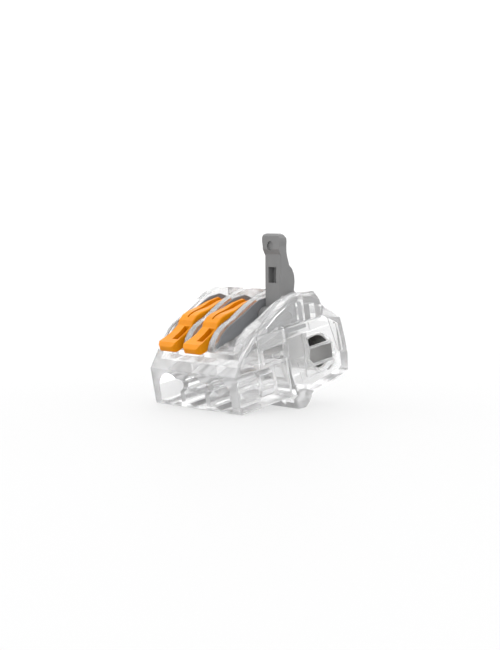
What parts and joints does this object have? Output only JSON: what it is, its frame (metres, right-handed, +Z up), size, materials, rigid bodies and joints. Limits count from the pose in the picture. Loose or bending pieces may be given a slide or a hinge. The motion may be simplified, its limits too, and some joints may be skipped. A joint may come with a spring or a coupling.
{
  "type": "lever wire connector",
  "caption": "Clear splicing connector: a row of wire entries, each with a cage clamp opened by its own flip-up lever; one lever stands open.",
  "frame": {"origin": "on the surface that the connector stands on, below the middle of its bounding box", "axes": "+Z up, +X from the left pole to the right pole, +Y from the wire entries to the rear; the body leans back on its foot by 10.4 degrees"},
  "size_m": [0.0206, 0.0246, 0.0271],
  "materials": {
    "clear_polycarbonate": "clear moulded polycarbonate, glossy",
    "orange_nylon": "moulded orange nylon, satin",
    "grey_nylon": "moulded grey nylon, satin",
    "slate_nylon": "moulded blue-grey nylon, satin",
    "spring_steel": "rolled spring steel strip",
    "tinned_copper": "tin-plated copper, dull bright"
  },
  "bodies": {
    "connector": {"housing": "clear_polycarbonate", "rear_cover": "clear_polycarbonate", "busbar": "tinned_copper", "bearing_frame_left": "slate_nylon", "bearing_frame_middle": "slate_nylon", "bearing_frame_right": "slate_nylon", "spring_loop_left": "spring_steel", "spring_loop_middle": "spring_steel", "spring_loop_right": "spring_steel"},
    "lever_arm_left": {"lever_left": "orange_nylon"},
    "clamp_leg_left": {"spring_leg_left": "spring_steel"},
    "lever_arm_middle": {"lever_middle": "orange_nylon"},
    "clamp_leg_middle": {"spring_leg_middle": "spring_steel"},
    "lever_arm_right": {"lever_right": "grey_nylon"},
    "clamp_leg_right": {"spring_leg_right": "spring_steel"}
  },
  "joints": [
    {"name": "lever_swing_left", "type": "hinge", "parent": "connector", "child": "lever_arm_left", "pos_m": [-0.0059, -0.00009, 0.01405], "axis": [-1, 0, 0], "range_deg": [0, 112]},
    {"name": "clamp_flex_left", "type": "hinge", "parent": "connector", "child": "clamp_leg_left", "pos_m": [-0.0059, 0.00745, 0.00842], "axis": [1, 0, 0], "range_deg": [0, 14]},
    {"name": "lever_swing_middle", "type": "hinge", "parent": "connector", "child": "lever_arm_middle", "pos_m": [0, -0.00009, 0.01405], "axis": [-1, 0, 0], "range_deg": [0, 112]},
    {"name": "clamp_flex_middle", "type": "hinge", "parent": "connector", "child": "clamp_leg_middle", "pos_m": [0, 0.00745, 0.00842], "axis": [1, 0, 0], "range_deg": [0, 14]},
    {"name": "lever_swing_right", "type": "hinge", "parent": "connector", "child": "lever_arm_right", "pos_m": [0.0059, -0.00009, 0.01405], "axis": [-1, 0, 0], "range_deg": [-112, 0]},
    {"name": "clamp_flex_right", "type": "hinge", "parent": "connector", "child": "clamp_leg_right", "pos_m": [0.0059, 0.00745, 0.00842], "axis": [1, 0, 0], "range_deg": [-14, 0]}
  ],
  "couplings": [
    {"joint": "clamp_flex_left", "follows": "lever_swing_left", "ratio": 0.125},
    {"joint": "clamp_flex_middle", "follows": "lever_swing_middle", "ratio": 0.125},
    {"joint": "clamp_flex_right", "follows": "lever_swing_right", "ratio": 0.125}
  ]
}
